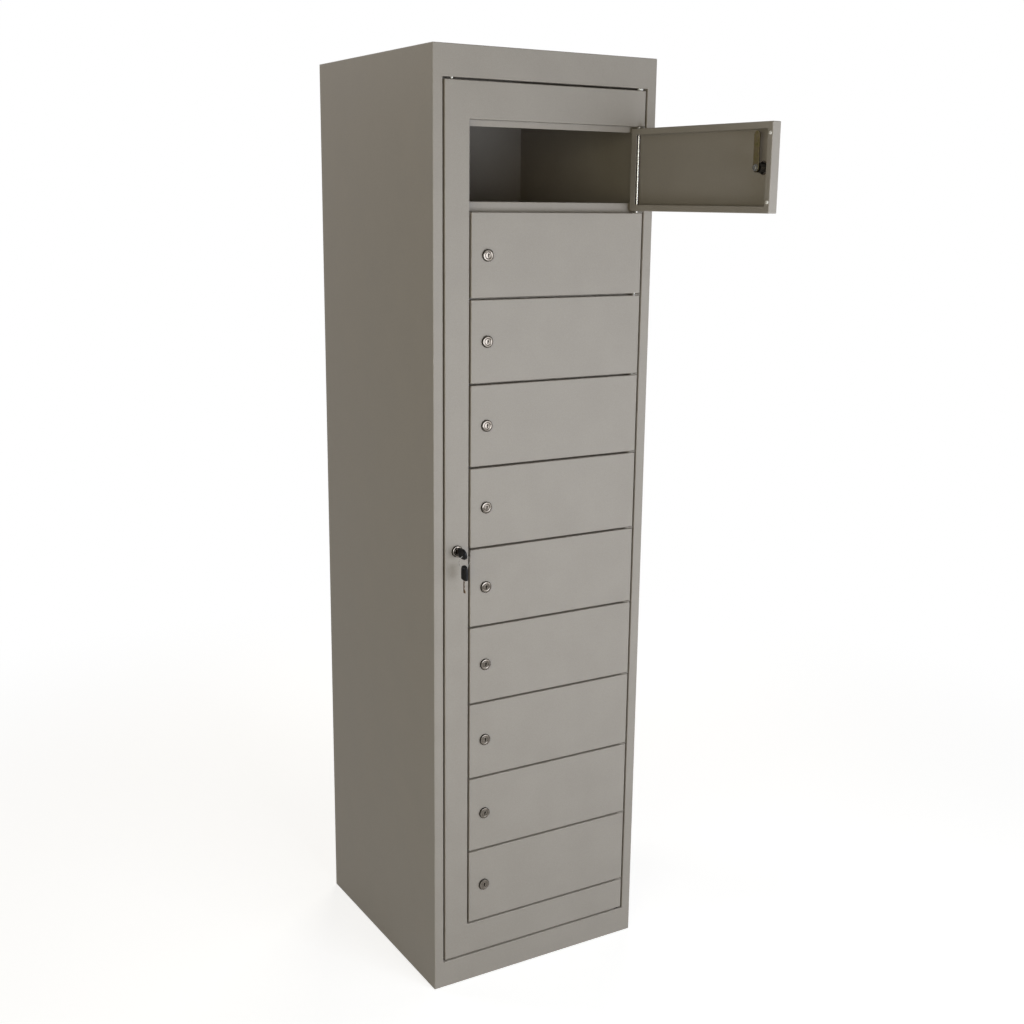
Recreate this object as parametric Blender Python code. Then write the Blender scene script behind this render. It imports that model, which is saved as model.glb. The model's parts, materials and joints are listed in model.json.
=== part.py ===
"""Laptop locker: a sheet-steel cabinet with ten compartments behind ten small doors.

The small doors and the service frame around them (the master door) all turn on one
rod at the right. Each door has a cam lock, and so has the master door, with its key in
it and a spare key on a ring. The top door stands open.

Metres, +Z up. The front faces -Y, and the origin is under the middle of the base.
"""

import math

import bmesh
import bpy
from mathutils import Matrix, Vector

# Cabinet
CABINET_WIDTH = 0.500
CABINET_DEPTH = 0.520
CABINET_HEIGHT = 1.900
SHEET = 0.0010
BEND_RADIUS = 0.0013
STILE_WIDTH = 0.021
HEADER_HEIGHT = 0.058
PLINTH_HEIGHT = 0.058
FRONT_DEPTH = 0.020
REAR_FLANGE = 0.015

# Doors
DOOR_COUNT = 10
DOOR_GAP = 0.004
MASTER_STILE_WIDTH = 0.0525
MASTER_RAIL_HEIGHT = 0.0685
DOOR_LIP = 0.012
HINGE_LIP = 0.0166
TRAY_EDGE = 0.0012
OPEN_DOOR = 1
OPEN_ANGLE = math.radians(93.5)

# Hinge line, measured from a door's right edge and from its front face
HINGE_INSET = 0.0088
HINGE_SETBACK = 0.0080
ROD_DIAMETER = 0.0050
ROD_TAIL = 0.010
LUG_RADIUS = 0.0075
LUG_THICKNESS = 0.0016
HINGE_STRIP_SHEET = 0.0012
HINGE_STRIP_LEG = 0.012
WASHER_DIAMETER = 0.012

# Shelves and the stop rail behind the top rail
SHELF_RISE = 0.0175
SHELF_DROP = 0.0090
SHELF_REAR_LIP = 0.015
STOP_RAIL_DEPTH = 0.045

# Cam locks
LOCK_INSET = 0.0352
BEZEL_DIAMETER = 0.0236
BEZEL_THICKNESS = 0.0042
BEZEL_CHAMFER = 0.0008
BARREL_DIAMETER = 0.0180
PLUG_DIAMETER = 0.0120
NUT_WIDTH = 0.0220
NUT_THICKNESS = 0.0050
CAM_LENGTH = 0.064
MASTER_CAM_LENGTH = 0.042
CAM_WIDTH = 0.014
CAM_THICKNESS = 0.0025
CAM_SCREW_DIAMETER = 0.010
CAM_SCREW_HEIGHT = 0.004
KEYWAY_WIDTH = 0.0022
KEYWAY_HEIGHT = 0.0076
KEYWAY_DEPTH = 0.0120

# Keys
BOW_LENGTH = 0.030
BOW_HEIGHT = 0.021
BOW_THICKNESS = 0.0050
BOW_CORNER = 0.009
BOW_HOLE_DIAMETER = 0.0070
BOW_HOLE_INSET = 0.0065
KEY_NECK = 0.0040
BLADE_LENGTH = 0.026
RING_RADIUS = 0.0122
RING_WIRE = 0.0015
MASTER_KEY_TURN = math.radians(-10)

# Clearances
SEAM = 0.0003
ROD_CLEARANCE = 0.0004
LOCK_CLEARANCE = 0.0003
CAM_CLEARANCE = 0.0010
SWING_CLEARANCE = 0.0012
KEY_CLEARANCE = 0.0003
RING_CLEARANCE = 0.0008

# Facets
BEND_STEPS = 3
ROUND_STEPS = 16
RING_STEPS = 24
WIRE_STEPS = 8

# Places worked out from the sizes above
LEFT = -CABINET_WIDTH / 2
RIGHT = CABINET_WIDTH / 2
FRONT = -CABINET_DEPTH / 2
BACK = CABINET_DEPTH / 2
MASTER_LEFT = LEFT + STILE_WIDTH + DOOR_GAP
MASTER_RIGHT = RIGHT - STILE_WIDTH - DOOR_GAP
MASTER_BOTTOM = PLINTH_HEIGHT + DOOR_GAP
MASTER_TOP = CABINET_HEIGHT - HEADER_HEIGHT - DOOR_GAP
MASTER_STILE_RIGHT = MASTER_LEFT + MASTER_STILE_WIDTH
DOOR_LEFT = MASTER_STILE_RIGHT + DOOR_GAP
DOOR_WIDTH = MASTER_RIGHT - DOOR_LEFT
DOORS_BOTTOM = MASTER_BOTTOM + MASTER_RAIL_HEIGHT + DOOR_GAP / 2
DOORS_TOP = MASTER_TOP - MASTER_RAIL_HEIGHT - DOOR_GAP / 2
DOOR_PITCH = (DOORS_TOP - DOORS_BOTTOM) / DOOR_COUNT
DOOR_HEIGHT = DOOR_PITCH - DOOR_GAP
HINGE_X = MASTER_RIGHT - HINGE_INSET
HINGE_Y = FRONT + HINGE_SETBACK
MASTER_LOCK_X = (MASTER_LEFT + MASTER_STILE_RIGHT) / 2
MASTER_LOCK_Z = CABINET_HEIGHT / 2

# Depths behind the front face
CAM_FRONT = FRONT_DEPTH + CAM_CLEARANCE
CAM_BACK = CAM_FRONT + CAM_THICKNESS
LOCK_END = CAM_BACK + CAM_SCREW_HEIGHT + CAM_CLEARANCE
SWING_DEPTH = HINGE_SETBACK + math.hypot(HINGE_INSET, FRONT_DEPTH - HINGE_SETBACK)
SHELF_FRONT = max(SWING_DEPTH + SWING_CLEARANCE, CAM_BACK + SEAM)

# Colours, linear
PAINT_GREY = (0.347, 0.323, 0.287, 1.0)
ZINC = (0.80, 0.80, 0.78, 1.0)
CHROME = (0.62, 0.62, 0.60, 1.0)
YELLOW_ZINC = (0.42, 0.36, 0.16, 1.0)
NYLON = (0.80, 0.80, 0.78, 1.0)
BLACK_PLASTIC = (0.012, 0.012, 0.013, 1.0)


def clear_scene():
    for thing in list(bpy.data.objects):
        bpy.data.objects.remove(thing, do_unlink=True)


def finish_material(name, colour, roughness, metallic):
    material = bpy.data.materials.new(name)
    material.use_nodes = True
    shader = material.node_tree.nodes["Principled BSDF"]
    shader.inputs["Base Color"].default_value = colour
    shader.inputs["Roughness"].default_value = roughness
    shader.inputs["Metallic"].default_value = metallic
    material.diffuse_color = colour
    return material


def add_object(name, mesh, finish, parent=None, location=(0, 0, 0), turn=0.0):
    """Put a mesh in the scene as a named piece with its own material."""
    piece = bpy.data.objects.new(name, mesh)
    bpy.context.scene.collection.objects.link(piece)
    piece.parent = parent
    piece.location = location
    piece.rotation_euler.z = turn
    if not piece.material_slots:
        mesh.materials.append(None)
    piece.material_slots[0].link = "OBJECT"
    piece.material_slots[0].material = finish_material(name, *finish)
    return piece


def mesh_from(name, shape):
    bmesh.ops.recalc_face_normals(shape, faces=shape.faces)
    mesh = bpy.data.meshes.new(name)
    shape.to_mesh(mesh)
    shape.free()
    return mesh


def smooth_round(mesh):
    mesh.shade_smooth()
    mesh.set_sharp_from_angle(angle=math.radians(40))
    return mesh


def box_mesh(name, low, high, edge=0.0):
    """A box between two corners, with rounded edges if edge is given."""
    shape = bmesh.new()
    bmesh.ops.create_cube(shape, size=1.0)
    size = Vector(high) - Vector(low)
    middle = (Vector(high) + Vector(low)) / 2
    bmesh.ops.scale(shape, vec=size, verts=shape.verts)
    bmesh.ops.translate(shape, vec=middle, verts=shape.verts)
    if edge:
        bmesh.ops.bevel(shape, geom=shape.edges[:], offset=edge, segments=2,
                        profile=0.5, affect="EDGES")
    return mesh_from(name, shape)


def rod_mesh(name, radius, start, end, steps=ROUND_STEPS):
    """A round bar, or a prism with few steps, from one point to another."""
    shape = bmesh.new()
    line = Vector(end) - Vector(start)
    bmesh.ops.create_cone(shape, cap_ends=True, segments=steps, radius1=radius,
                          radius2=radius, depth=line.length)
    turn = line.to_track_quat("Z", "Y").to_matrix().to_4x4()
    middle = (Vector(start) + Vector(end)) / 2
    bmesh.ops.transform(shape, matrix=Matrix.Translation(middle) @ turn, verts=shape.verts)
    return mesh_from(name, shape)


def turned_mesh(name, profile, steps=ROUND_STEPS):
    """Turn a closed profile of (radius, y) points round the Y axis."""
    shape = bmesh.new()
    points = [shape.verts.new((radius, y, 0.0)) for radius, y in profile]
    edges = [shape.edges.new((a, b)) for a, b in zip(points, points[1:] + points[:1])]
    bmesh.ops.spin(shape, geom=points + edges, cent=(0, 0, 0), axis=(0, 1, 0),
                   angle=2 * math.pi, steps=steps, use_merge=True)
    return smooth_round(mesh_from(name, shape))


def prism_mesh(name, outline, axis, low, high):
    """Extrude a flat outline along X or Z. The outline is (y, z) or (x, y)."""
    shape = bmesh.new()
    if axis == "X":
        corners = [shape.verts.new((low, a, b)) for a, b in outline]
        travel = Vector((high - low, 0, 0))
    else:
        corners = [shape.verts.new((a, b, low)) for a, b in outline]
        travel = Vector((0, 0, high - low))
    face = shape.faces.new(corners)
    pushed = bmesh.ops.extrude_face_region(shape, geom=[face], use_keep_orig=True)
    moved = [item for item in pushed["geom"] if isinstance(item, bmesh.types.BMVert)]
    bmesh.ops.translate(shape, vec=travel, verts=moved)
    return mesh_from(name, shape)


def folded_outline(face_line, sheet=SHEET):
    """Outline of a sheet folded along the line of its outer face, material on the left."""
    line = [Vector(point) for point in face_line]
    ways = [(b - a).normalized() for a, b in zip(line, line[1:])]
    lefts = [Vector((-way.y, way.x)) for way in ways]
    middle = [line[0] + lefts[0] * sheet / 2]
    for corner, left, after in zip(line[1:-1], lefts, lefts[1:]):
        middle.append(corner + (left + after) / (1 + left.dot(after)) * sheet / 2)
    middle.append(line[-1] + lefts[-1] * sheet / 2)
    inner = [middle[0] + lefts[0] * sheet / 2]
    outer = [middle[0] - lefts[0] * sheet / 2]
    for corner, before, after in zip(middle[1:-1], ways, ways[1:]):
        turn = before.angle_signed(after)
        reach = BEND_RADIUS * math.tan(abs(turn) / 2)
        side = -1.0 if turn > 0 else 1.0
        start = math.atan2(before.y, before.x)
        left = Vector((-before.y, before.x))
        centre = corner - before * reach + left * side * BEND_RADIUS
        for step in range(BEND_STEPS + 1):
            heading = start - turn * step / BEND_STEPS
            normal = Vector((-math.sin(heading), math.cos(heading)))
            point = centre - normal * side * BEND_RADIUS
            inner.append(point + normal * sheet / 2)
            outer.append(point - normal * sheet / 2)
    inner.append(middle[-1] + lefts[-1] * sheet / 2)
    outer.append(middle[-1] - lefts[-1] * sheet / 2)
    return inner + outer[::-1]


def combine(mesh, others, operation):
    """Cut other meshes out of a mesh, or join them to it, and return the result."""
    base = bpy.data.objects.new("work", mesh)
    bpy.context.scene.collection.objects.link(base)
    tools = []
    for other in others:
        tool = bpy.data.objects.new("tool", other)
        tool.hide_render = True
        tool.display_type = "WIRE"
        bpy.context.scene.collection.objects.link(tool)
        step = base.modifiers.new("step", "BOOLEAN")
        step.operation = operation
        step.solver = "EXACT"
        step.object = tool
        tools.append(tool)
    bpy.context.view_layer.update()
    solved = base.evaluated_get(bpy.context.evaluated_depsgraph_get())
    result = bpy.data.meshes.new_from_object(solved)
    result.name = mesh.name
    for item in [base] + tools:
        bpy.data.objects.remove(item, do_unlink=True)
    return result


def cut(mesh, *others):
    return combine(mesh, others, "DIFFERENCE")


def join(mesh, *others):
    return combine(mesh, others, "UNION")


def tray_mesh(name, low, high, left_lip=DOOR_LIP, right_lip=DOOR_LIP):
    """A door skin: front sheet, four flanges and inward lips, open at the back."""
    skin = box_mesh(name, low, high, TRAY_EDGE)
    inside = Vector((SHEET, SHEET, SHEET))
    hollow = box_mesh("hollow", Vector(low) + inside, Vector(high) - inside)
    mouth = box_mesh("mouth",
                     (low[0] + left_lip, high[1] - 2 * SHEET, low[2] + DOOR_LIP),
                     (high[0] - right_lip, high[1] + SHEET, high[2] - DOOR_LIP))
    return cut(skin, hollow, mouth)


def rod_hole(x, y, low, high):
    radius = ROD_DIAMETER / 2 + ROD_CLEARANCE
    return rod_mesh("rod_hole", radius, (x, y, low), (x, y, high))


def lock_hole(x, front, z):
    radius = BARREL_DIAMETER / 2 + LOCK_CLEARANCE
    return rod_mesh("lock_hole", radius, (x, front - SHEET, z), (x, front + 2 * SHEET, z))


def gap_height(number):
    """Height of the gap above door number, counted from the top, or below the last."""
    return DOORS_TOP - (number - 1) * DOOR_PITCH


# Cabinet


def make_sides():
    paint = (PAINT_GREY, 0.45, 0.0)
    left_line = [(LEFT + REAR_FLANGE, BACK), (LEFT, BACK), (LEFT, FRONT),
                 (LEFT + STILE_WIDTH, FRONT), (LEFT + STILE_WIDTH, FRONT + FRONT_DEPTH)]
    low = SHEET + SEAM
    high = CABINET_HEIGHT - SHEET - SEAM
    left = prism_mesh("left_side", folded_outline(left_line), "Z", low, high)
    add_object("left_side", left, paint)

    right_line = [(RIGHT - STILE_WIDTH, FRONT), (RIGHT, FRONT), (RIGHT, BACK),
                  (RIGHT - REAR_FLANGE, BACK)]
    right = prism_mesh("right_side", folded_outline(right_line), "Z", low, high)
    add_object("right_side", right, paint)


def make_hinge_strip():
    """Full-height angle behind the right stile, with a lug in every gap for the rod."""
    edge = RIGHT - STILE_WIDTH
    face = FRONT + SHEET + SEAM
    line = [(edge, FRONT + FRONT_DEPTH), (edge, face), (edge + HINGE_STRIP_LEG, face)]
    strip = prism_mesh("hinge_strip", folded_outline(line, HINGE_STRIP_SHEET), "Z",
                       PLINTH_HEIGHT, CABINET_HEIGHT - HEADER_HEIGHT)
    lugs = []
    for number in range(1, DOOR_COUNT + 2):
        lugs.append(lug_mesh(gap_height(number), edge + HINGE_STRIP_SHEET / 2))
    strip = join(strip, *lugs)
    hole = rod_hole(HINGE_X, HINGE_Y, 0.0, CABINET_HEIGHT)
    add_object("hinge_strip", cut(strip, hole), (PAINT_GREY, 0.45, 0.0))


def lug_mesh(height, root):
    """A plate from the strip to the rod, with a round end on the rod's axis."""
    arc = []
    for step in range(ROUND_STEPS // 2 + 1):
        angle = math.radians(90) + math.pi * step / (ROUND_STEPS // 2)
        arc.append((HINGE_X + LUG_RADIUS * math.cos(angle),
                    HINGE_Y + LUG_RADIUS * math.sin(angle)))
    # The front corner steps back so that the lug roots behind the stile's face
    step_back = FRONT + SHEET + SEAM + BEND_RADIUS + HINGE_STRIP_SHEET
    outline = arc + [(MASTER_RIGHT, HINGE_Y - LUG_RADIUS), (MASTER_RIGHT, step_back),
                     (root, step_back), (root, HINGE_Y + LUG_RADIUS)]
    return prism_mesh("lug", outline, "Z", height - LUG_THICKNESS / 2,
                      height + LUG_THICKNESS / 2)


def make_end_panels():
    """Top and base: a sheet over the sides, a deep front fold and a return for the rod."""
    for name, outside, way, height in (
        ("base_panel", 0.0, 1.0, PLINTH_HEIGHT),
        ("top_panel", CABINET_HEIGHT, -1.0, HEADER_HEIGHT),
    ):
        inner = outside + way * height
        line = [(BACK, outside), (FRONT, outside), (FRONT, inner), (FRONT + FRONT_DEPTH, inner)]
        panel = prism_mesh(name, folded_outline(line, -way * SHEET), "X", LEFT, RIGHT)
        # The front fold stops at the stiles, and only the sheet runs on over them
        notches = []
        levels = sorted((outside + way * SHEET, inner + way * SHEET))
        for side in (-1, 1):
            across = sorted((side * (RIGHT - STILE_WIDTH - SEAM), side * (RIGHT + SEAM)))
            notches.append(box_mesh("notch", (across[0], FRONT - SEAM, levels[0]),
                                    (across[1], FRONT + FRONT_DEPTH + SEAM, levels[1])))
        hole = rod_hole(HINGE_X, HINGE_Y, inner - 2 * SHEET, inner + 2 * SHEET)
        add_object(name, cut(panel, hole, *notches), (PAINT_GREY, 0.45, 0.0))


def make_back():
    low = SHEET + SEAM
    back = box_mesh("back_panel",
                    (LEFT + SHEET + SEAM, BACK - SHEET - SEAM - SHEET, low),
                    (RIGHT - SHEET - SEAM, BACK - SHEET - SEAM, CABINET_HEIGHT - low))
    add_object("back_panel", back, (PAINT_GREY, 0.45, 0.0))


def make_shelves():
    """A shelf under every compartment, folded down at the front as the doors' stop."""
    rear = BACK - SHEET - 2 * SEAM - SHEET
    for number in range(1, DOOR_COUNT + 1):
        gap = gap_height(number + 1)
        top = gap + SHELF_RISE
        behind = [(rear, top - SHELF_REAR_LIP), (rear, top)]
        make_stop(f"shelf_{number}", gap, behind)
    top = gap_height(1) + SHELF_RISE
    make_stop("top_stop_rail", gap_height(1), [(FRONT + SHELF_FRONT + STOP_RAIL_DEPTH, top)])


def make_stop(name, gap, behind):
    """A folded sheet from side to side whose front fold stops the doors beside one gap."""
    face = FRONT + SHELF_FRONT
    top = gap + SHELF_RISE
    line = behind + [(face, top), (face, gap - SHELF_DROP)]
    sheet = prism_mesh(name, folded_outline(line), "X", LEFT + SHEET + SEAM, RIGHT - SHEET - SEAM)
    # The corner behind the master stile is cut away for the master lock and its cam
    corner = box_mesh("corner", (LEFT, FRONT, gap - 2 * SHELF_DROP),
                      (MASTER_STILE_RIGHT, FRONT + LOCK_END, top + SHEET))
    add_object(name, cut(sheet, corner), (PAINT_GREY, 0.45, 0.0))


def make_hinge_rod():
    bottom = PLINTH_HEIGHT - ROD_TAIL
    top = CABINET_HEIGHT - HEADER_HEIGHT + ROD_TAIL
    axis = bpy.data.objects.new("hinge_line", None)
    axis.location = (HINGE_X, HINGE_Y, 0.0)
    bpy.context.scene.collection.objects.link(axis)
    rod = rod_mesh("hinge_rod", ROD_DIAMETER / 2, (0, 0, bottom), (0, 0, top))
    add_object("hinge_rod", smooth_round(rod), (ZINC, 0.3, 1.0), parent=axis)
    for name, low, colour in (("lower_washer", PLINTH_HEIGHT, BLACK_PLASTIC),
                              ("upper_washer", MASTER_TOP, NYLON)):
        washer = rod_mesh(name, WASHER_DIAMETER / 2, (0, 0, low + SEAM),
                          (0, 0, low + DOOR_GAP - SEAM))
        washer = cut(washer, rod_hole(0.0, 0.0, low, low + DOOR_GAP))
        add_object(name, smooth_round(washer), (colour, 0.5, 0.0), parent=axis)


# Master door: a frame of one stile and two rails around the small doors


def make_master_door():
    paint = (PAINT_GREY, 0.45, 0.0)
    hinge = bpy.data.objects.new("master_hinge", None)
    hinge.location = (HINGE_X, HINGE_Y, 0.0)
    bpy.context.scene.collection.objects.link(hinge)
    front = -HINGE_SETBACK
    back = front + FRONT_DEPTH

    stile = tray_mesh("master_stile",
                      (MASTER_LEFT - HINGE_X, front, MASTER_BOTTOM),
                      (MASTER_STILE_RIGHT - HINGE_X, back, MASTER_TOP))
    stile = cut(stile, lock_hole(MASTER_LOCK_X - HINGE_X, front, MASTER_LOCK_Z))
    add_object("master_stile", stile, paint, parent=hinge)

    for name, low in (("master_bottom_rail", MASTER_BOTTOM),
                      ("master_top_rail", MASTER_TOP - MASTER_RAIL_HEIGHT)):
        high = low + MASTER_RAIL_HEIGHT
        rail = tray_mesh(name,
                         (MASTER_STILE_RIGHT + SEAM - HINGE_X, front, low),
                         (MASTER_RIGHT - HINGE_X, back, high),
                         right_lip=HINGE_LIP)
        rail = cut(rail, rod_hole(0.0, 0.0, low - SHEET, high + SHEET))
        add_object(name, rail, paint, parent=hinge)

    spot = (MASTER_LOCK_X - HINGE_X, front, MASTER_LOCK_Z)
    add_object("master_lock_barrel", barrel_mesh("master_lock_barrel"),
               (CHROME, 0.25, 1.0), parent=hinge, location=spot)
    hanging = cam_mesh("master_lock_cam", MASTER_CAM_LENGTH, way=-1, key_turn=MASTER_KEY_TURN)
    cam = add_object("master_lock_cam", hanging, (YELLOW_ZINC, 0.4, 1.0),
                     parent=hinge, location=spot)
    make_keys(cam)


# Small doors


def make_doors():
    """Ten alike doors with their locks, each turning about the rod."""
    front = -HINGE_SETBACK
    back = front + FRONT_DEPTH
    half = DOOR_HEIGHT / 2
    lock_x = HINGE_INSET - DOOR_WIDTH + LOCK_INSET
    tray = tray_mesh("door", (HINGE_INSET - DOOR_WIDTH, front, -half),
                     (HINGE_INSET, back, half), right_lip=HINGE_LIP)
    tray = cut(tray, rod_hole(0.0, 0.0, -half - SHEET, half + SHEET),
               lock_hole(lock_x, front, 0.0))
    barrel = barrel_mesh("lock_barrel")
    cam = cam_mesh("lock_cam", CAM_LENGTH)
    for number in range(1, DOOR_COUNT + 1):
        middle = gap_height(number) - DOOR_PITCH / 2
        turn = OPEN_ANGLE if number == OPEN_DOOR else 0.0
        door = add_object(f"door_{number}", tray, (PAINT_GREY, 0.45, 0.0),
                          location=(HINGE_X, HINGE_Y, middle), turn=turn)
        spot = (lock_x, front, 0.0)
        add_object(f"lock_barrel_{number}", barrel, (CHROME, 0.25, 1.0),
                   parent=door, location=spot)
        add_object(f"lock_cam_{number}", cam, (YELLOW_ZINC, 0.4, 1.0),
                   parent=door, location=spot)


# Cam locks, modelled about the point where the lock's axis meets the door's face


def barrel_mesh(name):
    """Bezel, barrel and nut, with a bore for the plug."""
    bore = PLUG_DIAMETER / 2 + LOCK_CLEARANCE
    rim = BEZEL_DIAMETER / 2
    body = BARREL_DIAMETER / 2
    face = -SEAM - BEZEL_THICKNESS
    end = CAM_FRONT - LOCK_CLEARANCE
    profile = [(bore, face), (rim - BEZEL_CHAMFER, face), (rim, face + BEZEL_CHAMFER),
               (rim, -SEAM), (body, -SEAM), (body, end), (bore, end)]
    barrel = turned_mesh(name, profile)
    seat = SHEET + SEAM
    nut = rod_mesh("nut", NUT_WIDTH / math.sqrt(3), (0, seat, 0), (0, seat + NUT_THICKNESS, 0), 6)
    clear = rod_mesh("nut_bore", (body + bore) / 2, (0, 0, 0), (0, seat + 2 * NUT_THICKNESS, 0))
    return smooth_round(join(barrel, cut(nut, clear)))


def cam_mesh(name, length, way=1, key_turn=0.0):
    """Plug with its keyway, and on its end the cam, turned up or down, and its screw."""
    face = -SEAM - BEZEL_THICKNESS + BEZEL_CHAMFER
    plug = rod_mesh(name, PLUG_DIAMETER / 2, (0, face, 0), (0, CAM_BACK - SEAM, 0))
    slot = box_mesh("keyway", (-KEYWAY_WIDTH / 2, face - SHEET, -KEYWAY_HEIGHT / 2),
                    (KEYWAY_WIDTH / 2, face + KEYWAY_DEPTH, KEYWAY_HEIGHT / 2))
    slot.transform(Matrix.Rotation(key_turn, 4, "Y"))
    half = CAM_WIDTH / 2
    reach = way * (length - half)
    plate = box_mesh("plate", (-half, CAM_FRONT, min(0, reach)), (half, CAM_BACK, max(0, reach)))
    root = rod_mesh("root", half, (0, CAM_FRONT, 0), (0, CAM_BACK, 0))
    tip = rod_mesh("tip", half, (0, CAM_FRONT, reach), (0, CAM_BACK, reach))
    screw = rod_mesh("screw", CAM_SCREW_DIAMETER / 2, (0, CAM_BACK - SHEET, 0),
                     (0, CAM_BACK + CAM_SCREW_HEIGHT, 0), 6)
    return smooth_round(cut(join(plug, plate, root, tip, screw), slot))


# Keys: the master key in its lock, and a spare hanging from it on a ring


def bow_mesh(name, hole_y):
    """Rounded plate in the YZ plane whose outer end points to -Y, hole at hole_y."""
    half = BOW_THICKNESS / 2
    outer = hole_y - BOW_HOLE_INSET
    reach = BOW_HEIGHT / 2 - BOW_CORNER
    outline = []
    for quarter, (y, z) in enumerate((
        (outer + BOW_LENGTH - BOW_CORNER, reach), (outer + BOW_CORNER, reach),
        (outer + BOW_CORNER, -reach), (outer + BOW_LENGTH - BOW_CORNER, -reach),
    )):
        for step in range(BEND_STEPS + 1):
            angle = math.radians(90) * (quarter + step / BEND_STEPS)
            outline.append((y + BOW_CORNER * math.cos(angle), z + BOW_CORNER * math.sin(angle)))
    plate = prism_mesh(name, outline, "X", -half, half)
    hole = rod_mesh("hole", BOW_HOLE_DIAMETER / 2, (-BOW_THICKNESS, hole_y, 0),
                    (BOW_THICKNESS, hole_y, 0))
    return cut(plate, hole)


def make_keys(lock):
    plastic = (BLACK_PLASTIC, 0.4, 0.0)
    face = -SEAM - BEZEL_THICKNESS
    bow_root = face - KEY_NECK
    hole_y = bow_root - BOW_LENGTH + BOW_HOLE_INSET
    blade_x = KEYWAY_WIDTH / 2 - KEY_CLEARANCE
    blade_z = KEYWAY_HEIGHT / 2 - KEY_CLEARANCE
    blade_end = face + BEZEL_CHAMFER + KEYWAY_DEPTH - KEY_CLEARANCE
    overlap = BOW_CORNER / 2
    blade = box_mesh("blade", (-blade_x, bow_root - overlap, -blade_z),
                     (blade_x, blade_end, blade_z))
    key = join(bow_mesh("master_key", hole_y), blade)
    key.transform(Matrix.Rotation(MASTER_KEY_TURN, 4, "Y"))
    add_object("master_key", key, plastic, parent=lock)

    # The ring's wire lies in the bow's slanting hole, and the spare key hangs from the ring
    rest = BOW_HOLE_DIAMETER / 2 - RING_WIRE / 2 - RING_CLEARANCE
    slant = BOW_THICKNESS / 2 * math.tan(abs(MASTER_KEY_TURN))
    swing = bpy.data.objects.new("key_swing", None)
    bpy.context.scene.collection.objects.link(swing)
    swing.parent = lock
    swing.location = (0.0, hole_y, slant - rest)
    add_object("key_ring", ring_mesh("key_ring"), (ZINC, 0.3, 1.0), parent=swing)

    hang = bpy.data.objects.new("spare_hang", None)
    bpy.context.scene.collection.objects.link(hang)
    hang.parent = swing
    hang.location = (0.0, 0.0, -2 * RING_RADIUS - rest)
    hang.rotation_euler.x = math.radians(-90)
    spare_root = BOW_LENGTH - BOW_HOLE_INSET
    spare_blade = box_mesh("blade", (-blade_x, spare_root - overlap, -blade_z),
                           (blade_x, spare_root + BLADE_LENGTH, blade_z))
    add_object("spare_key", join(bow_mesh("spare_key", 0.0), spare_blade), plastic, parent=hang)


def ring_mesh(name):
    """A wire ring in the XZ plane, hanging from its top point at the origin."""
    shape = bmesh.new()
    wire = bmesh.ops.create_circle(shape, segments=WIRE_STEPS, radius=RING_WIRE / 2)
    turn = Matrix.Rotation(math.radians(90), 4, "Y")
    bmesh.ops.transform(shape, matrix=turn, verts=wire["verts"])
    bmesh.ops.spin(shape, geom=shape.verts[:] + shape.edges[:], cent=(0, 0, -RING_RADIUS),
                   axis=(0, 1, 0), angle=2 * math.pi, steps=RING_STEPS, use_merge=True)
    return smooth_round(mesh_from(name, shape))


def main():
    clear_scene()
    make_sides()
    make_hinge_strip()
    make_end_panels()
    make_back()
    make_shelves()
    make_hinge_rod()
    make_master_door()
    make_doors()


main()
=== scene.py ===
import json
import math

import bmesh
import bpy
from mathutils import Matrix, Vector


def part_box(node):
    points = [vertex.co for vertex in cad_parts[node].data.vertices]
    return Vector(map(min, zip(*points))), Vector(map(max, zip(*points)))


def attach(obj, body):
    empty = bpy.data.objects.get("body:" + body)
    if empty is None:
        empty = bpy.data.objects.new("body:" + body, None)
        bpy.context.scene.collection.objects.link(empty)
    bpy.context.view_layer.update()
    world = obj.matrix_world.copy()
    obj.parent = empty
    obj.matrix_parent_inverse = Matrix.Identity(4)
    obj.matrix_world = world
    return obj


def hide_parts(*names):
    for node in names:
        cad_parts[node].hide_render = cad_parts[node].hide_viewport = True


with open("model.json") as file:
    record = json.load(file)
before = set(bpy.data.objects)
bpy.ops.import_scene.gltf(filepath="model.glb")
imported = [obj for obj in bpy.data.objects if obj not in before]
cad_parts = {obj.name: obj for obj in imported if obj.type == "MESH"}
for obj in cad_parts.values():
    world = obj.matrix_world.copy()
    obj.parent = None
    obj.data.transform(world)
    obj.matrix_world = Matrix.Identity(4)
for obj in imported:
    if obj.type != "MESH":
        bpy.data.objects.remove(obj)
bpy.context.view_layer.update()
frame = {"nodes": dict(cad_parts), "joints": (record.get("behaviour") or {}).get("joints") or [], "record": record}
print("frame loaded:", len(frame["nodes"]), "nodes")

# Places read from the frame
mm = 0.001
closeBy = 1.0 * mm        # points nearer than this count as being in line
cutterPast = 1.0 * mm     # how far a cutting shape stands past what it cuts
weldReach = 0.001 * mm
squareOn = 0.99           # a face whose normal has this much of an axis faces along it
joints = {joint["name"]: joint for joint in frame["joints"]}
doorNumbers = sorted(int(name.split("_")[1]) for name in frame["nodes"] if name.startswith("door_"))
hingeLine = Vector(joints["master_door_swing"]["pos_m"])
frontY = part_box("master_stile")[0].y
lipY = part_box("master_stile")[1].y


# Colours and nodes

def linear(hexColour):
    parts = [int(hexColour[i:i + 2], 16) / 255 for i in (1, 3, 5)]
    return [p / 12.92 if p <= 0.04045 else ((p + 0.055) / 1.055) ** 2.4 for p in parts] + [1.0]


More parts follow.
